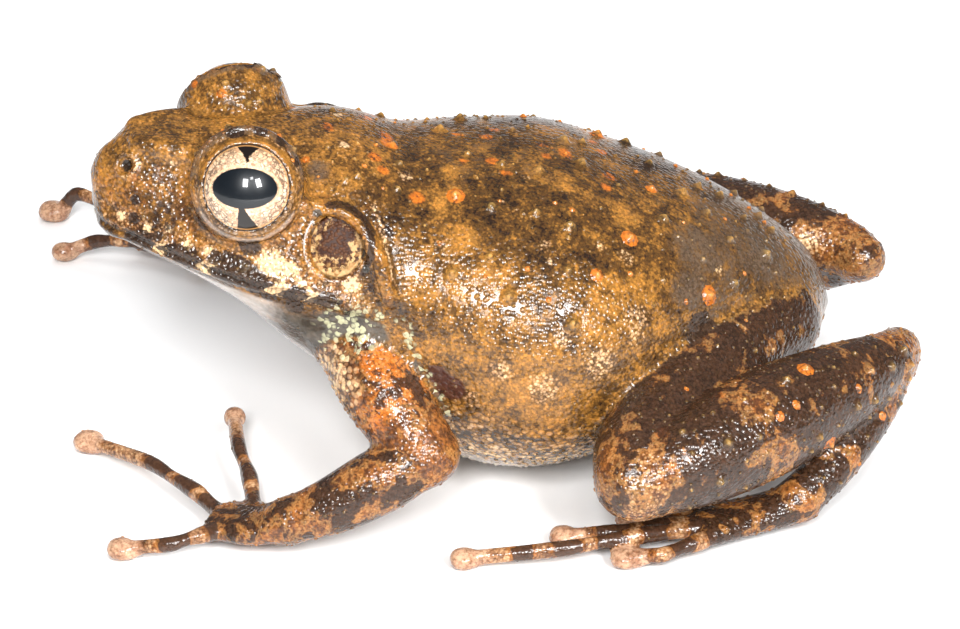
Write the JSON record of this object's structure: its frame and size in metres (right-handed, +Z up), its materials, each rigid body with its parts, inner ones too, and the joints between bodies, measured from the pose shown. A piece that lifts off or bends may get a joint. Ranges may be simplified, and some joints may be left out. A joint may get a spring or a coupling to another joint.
{
  "type": "gephyromantis pseudoasper frog model",
  "caption": "Life-size still model of a small warty rainforest frog crouching with one arm stretched out, in named parts.",
  "frame": {"origin": "on the floor under the middle of the model's bounding box", "axes": "+Z up, the frog faces -Y, its left side is at +X"},
  "size_m": [0.041, 0.0416, 0.0197],
  "materials": {
    "back_skin": "wet granular olive-brown skin with orange and cream warts",
    "throat_skin": "smooth damp pale grey skin",
    "limb_skin": "damp granular skin with dark and rust cross bands",
    "digit_skin": "smooth damp skin with pale discs",
    "ear_disc": "thin taut skin, red-brown with cream mottling",
    "eye": "glossy cream-gold iris with a dark pupil under a clear cornea"
  },
  "bodies": {
    "root": {"head": "back_skin", "lower_jaw": "throat_skin", "torso": "back_skin", "eye_left": "eye", "eye_right": "eye", "tympanum_left": "ear_disc", "tympanum_right": "ear_disc", "upper_arm_left": "limb_skin", "forearm_left": "limb_skin", "hand_left": "limb_skin", "finger_1_left": "digit_skin", "finger_2_left": "digit_skin", "finger_3_left": "digit_skin", "finger_4_left": "digit_skin", "thigh_left": "limb_skin", "shank_left": "limb_skin", "tarsus_left": "limb_skin", "foot_left": "limb_skin", "toe_1_left": "digit_skin", "toe_2_left": "digit_skin", "toe_3_left": "digit_skin", "toe_4_left": "digit_skin", "toe_5_left": "digit_skin", "upper_arm_right": "limb_skin", "forearm_right": "limb_skin", "hand_right": "limb_skin", "finger_1_right": "digit_skin", "finger_2_right": "digit_skin", "finger_3_right": "digit_skin", "finger_4_right": "digit_skin", "thigh_right": "limb_skin", "shank_right": "limb_skin", "tarsus_right": "limb_skin", "foot_right": "limb_skin", "toe_1_right": "digit_skin", "toe_2_right": "digit_skin", "toe_3_right": "digit_skin", "toe_4_right": "digit_skin", "toe_5_right": "digit_skin"}
  },
  "joints": []
}
